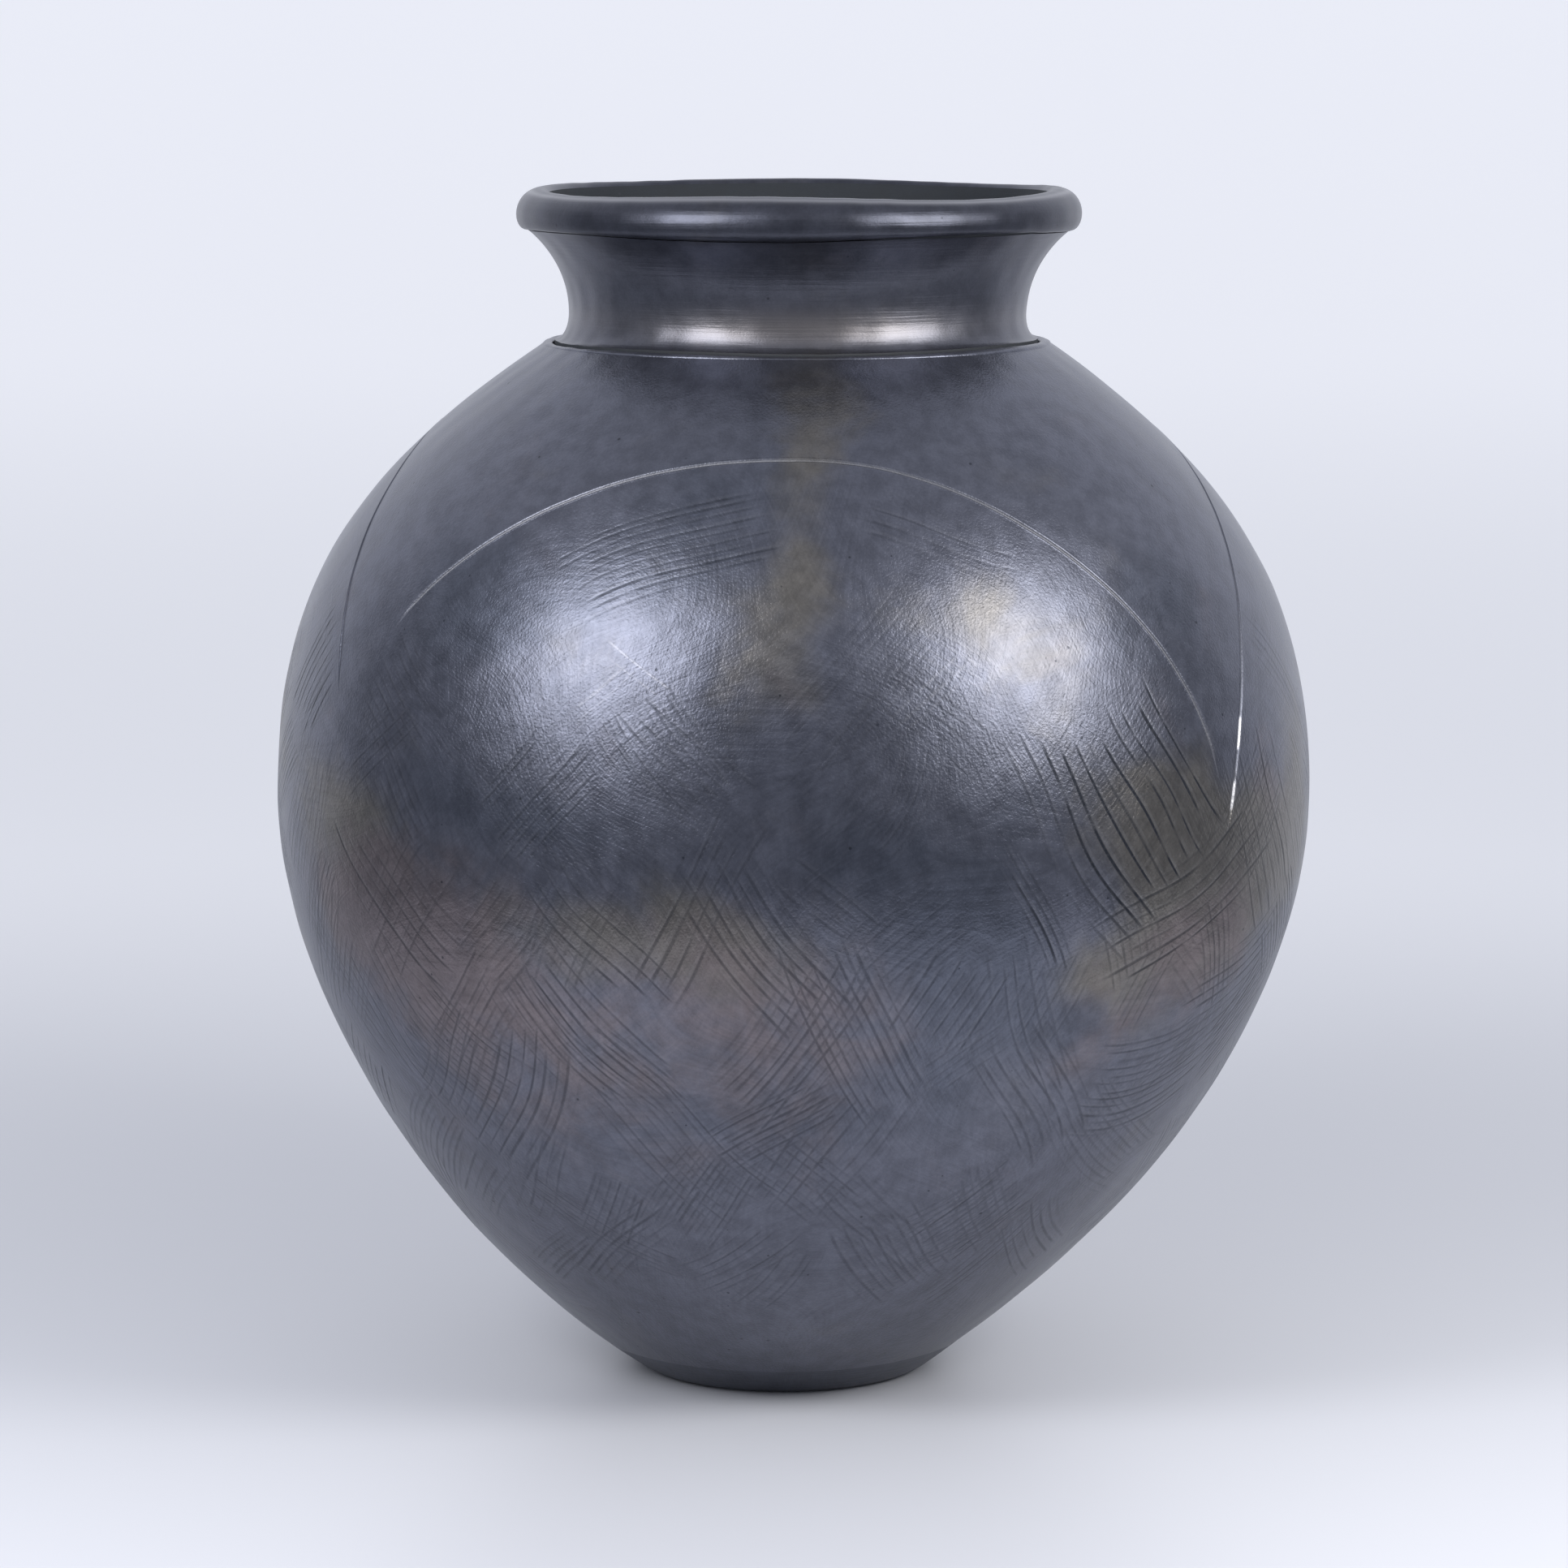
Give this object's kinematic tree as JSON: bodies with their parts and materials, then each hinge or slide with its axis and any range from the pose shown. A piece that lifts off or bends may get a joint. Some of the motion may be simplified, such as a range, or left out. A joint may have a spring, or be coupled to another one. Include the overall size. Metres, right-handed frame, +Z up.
{
  "type": "pottery vessel",
  "caption": "Round-bellied coil-built clay jar with a small flat foot, a short flared neck and a rolled rim, hollow and open at the top.",
  "frame": {"origin": "centre of the foot, on the plane that it stands on", "axes": "+Z up along the pot's axis of revolution; -Y faces the picture's camera"},
  "size_m": [0.3118, 0.3118, 0.3596],
  "materials": {
    "burnished_body": "stone-burnished, smoke-blackened low-fired clay with a satin graphite sheen",
    "burnished_neck": "turned and burnished smoke-blackened clay, smoother than the body",
    "foot_clay": "smoke-blackened clay, less polished, with a worn standing ring"
  },
  "bodies": {
    "root": {"base_dish": "foot_clay", "lower_course_1": "burnished_body", "lower_course_2": "burnished_body", "belly_course_1": "burnished_body", "belly_course_2": "burnished_body", "shoulder_course_1": "burnished_body", "shoulder_course_2": "burnished_body", "neck_collar": "burnished_neck", "rim_coil": "burnished_neck"}
  },
  "joints": []
}
